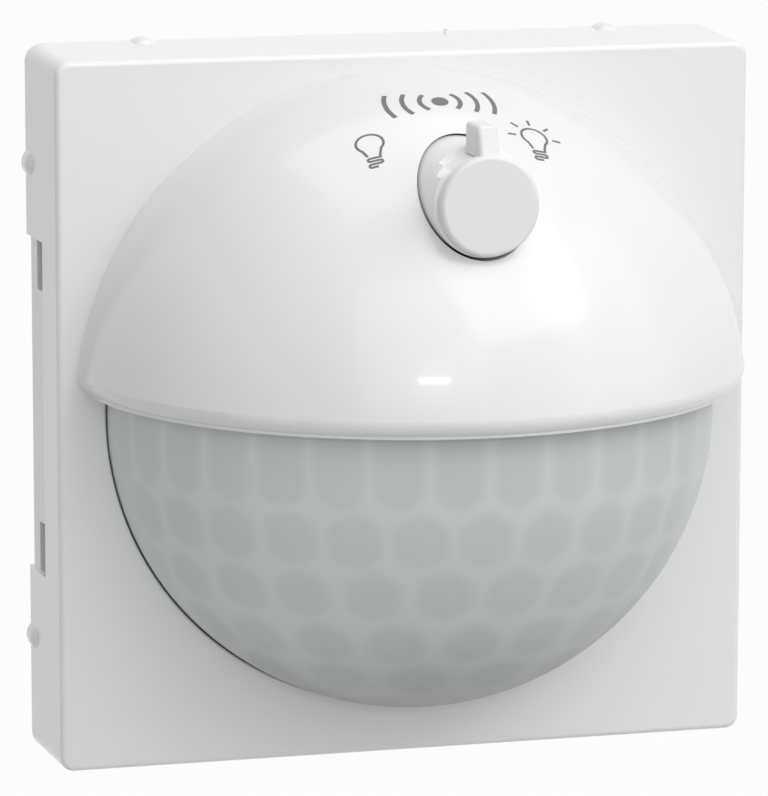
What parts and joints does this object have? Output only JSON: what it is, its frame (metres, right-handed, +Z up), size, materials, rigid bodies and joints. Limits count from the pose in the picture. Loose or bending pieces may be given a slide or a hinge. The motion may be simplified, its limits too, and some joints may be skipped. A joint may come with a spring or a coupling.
{
  "type": "motion sensor light switch",
  "caption": "Square wall light switch cover with a quarter-dome hood, a domed motion sensing lens and a three-way selector knob, over its sensor board and plug-in rear cover.",
  "frame": {"origin": "centre of the flat rear face, the plane that the cover's rear edge and the rear cover share", "axes": "+X to the right as seen from the front, +Y back into the wall, +Z up; the dome faces -Y"},
  "size_m": [0.0728, 0.0528, 0.0728],
  "materials": {
    "cover_plastic": "smooth gloss moulding with small grey printed marks",
    "lens_plastic": "milky, slightly see-through lens with moulded round cells",
    "clamp_plastic": "plain moulding",
    "knob_plastic": "smooth gloss moulding",
    "knob_cap_plastic": "smooth gloss disc",
    "spindle_plastic": "plain moulding",
    "switch_plastic": "plain moulding",
    "carrier_plastic": "plain moulding",
    "contact_metal": "bare",
    "spring_steel": "satin",
    "screw_steel": "satin",
    "board_laminate": "solder-resist coated",
    "sensor_board_laminate": "solder-resist coated",
    "holder_plastic": "plain moulding",
    "can_metal": "plated",
    "window_dark": "dark infrared window",
    "pin_metal": "plated",
    "light_sensor_resin": "dark clear resin",
    "lamp_resin": "tinted clear resin",
    "capacitor_sleeve": "shrunk sleeve",
    "chip_resin": "moulded resin",
    "crystal_can": "drawn metal can",
    "small_part_ceramic": "ceramic",
    "plug_plastic": "plain moulding",
    "rear_plastic": "fine matt moulding",
    "adjuster_plastic": "plain moulding",
    "adjuster_rotor_plastic": "plain moulding"
  },
  "bodies": {
    "housing": {"front_cover": "cover_plastic", "lens": "lens_plastic", "lens_clamp_ring": "clamp_plastic", "lens_clamp_screws": "screw_steel", "switch_base": "switch_plastic", "switch_cover": "switch_plastic", "switch_contacts": "contact_metal", "detent_spring": "spring_steel", "main_board": "board_laminate", "board_screws": "screw_steel", "sensor_holder": "holder_plastic", "sensor_link_pins": "pin_metal", "light_sensor": "light_sensor_resin", "test_lamp": "lamp_resin", "capacitor_large": "capacitor_sleeve", "capacitor_small": "capacitor_sleeve", "controller_chip": "chip_resin", "amplifier_chip": "chip_resin", "crystal": "crystal_can", "small_chip_parts": "small_part_ceramic", "plug_base": "plug_plastic", "plug_pins": "pin_metal", "rear_cover": "rear_plastic", "rear_cover_screws": "screw_steel", "sensor_board_left": "sensor_board_laminate", "sensor_can_left": "can_metal", "sensor_window_left": "window_dark", "sensor_pins_left": "pin_metal", "sensor_board_right": "sensor_board_laminate", "sensor_can_right": "can_metal", "sensor_window_right": "window_dark", "sensor_pins_right": "pin_metal", "adjuster_body_sensitivity": "adjuster_plastic", "adjuster_body_brightness": "adjuster_plastic", "adjuster_body_time": "adjuster_plastic"},
    "selector_knob": {"knob_body": "knob_plastic", "knob_cap": "knob_cap_plastic", "knob_spindle": "spindle_plastic", "spindle_clip": "spring_steel", "wiper_carrier": "carrier_plastic", "wiper_contact": "contact_metal"},
    "adjuster_sensitivity": {"adjuster_rotor_sensitivity": "adjuster_rotor_plastic"},
    "adjuster_brightness": {"adjuster_rotor_brightness": "adjuster_rotor_plastic"},
    "adjuster_time": {"adjuster_rotor_time": "adjuster_rotor_plastic"}
  },
  "joints": [
    {"name": "selector_turn", "type": "hinge", "parent": "housing", "child": "selector_knob", "pos_m": [0, -0.03, 0.02422], "axis": [0, 1, 0], "range_deg": [-60, 60]},
    {"name": "adjuster_turn_sensitivity", "type": "hinge", "parent": "housing", "child": "adjuster_sensitivity", "pos_m": [-0.013, -0.0025, 0.015], "axis": [0, 1, 0], "range_deg": [-120, 120]},
    {"name": "adjuster_turn_brightness", "type": "hinge", "parent": "housing", "child": "adjuster_brightness", "pos_m": [0, -0.0025, 0.015], "axis": [0, 1, 0], "range_deg": [-120, 120]},
    {"name": "adjuster_turn_time", "type": "hinge", "parent": "housing", "child": "adjuster_time", "pos_m": [0.013, -0.0025, 0.015], "axis": [0, 1, 0], "range_deg": [-120, 120]}
  ]
}
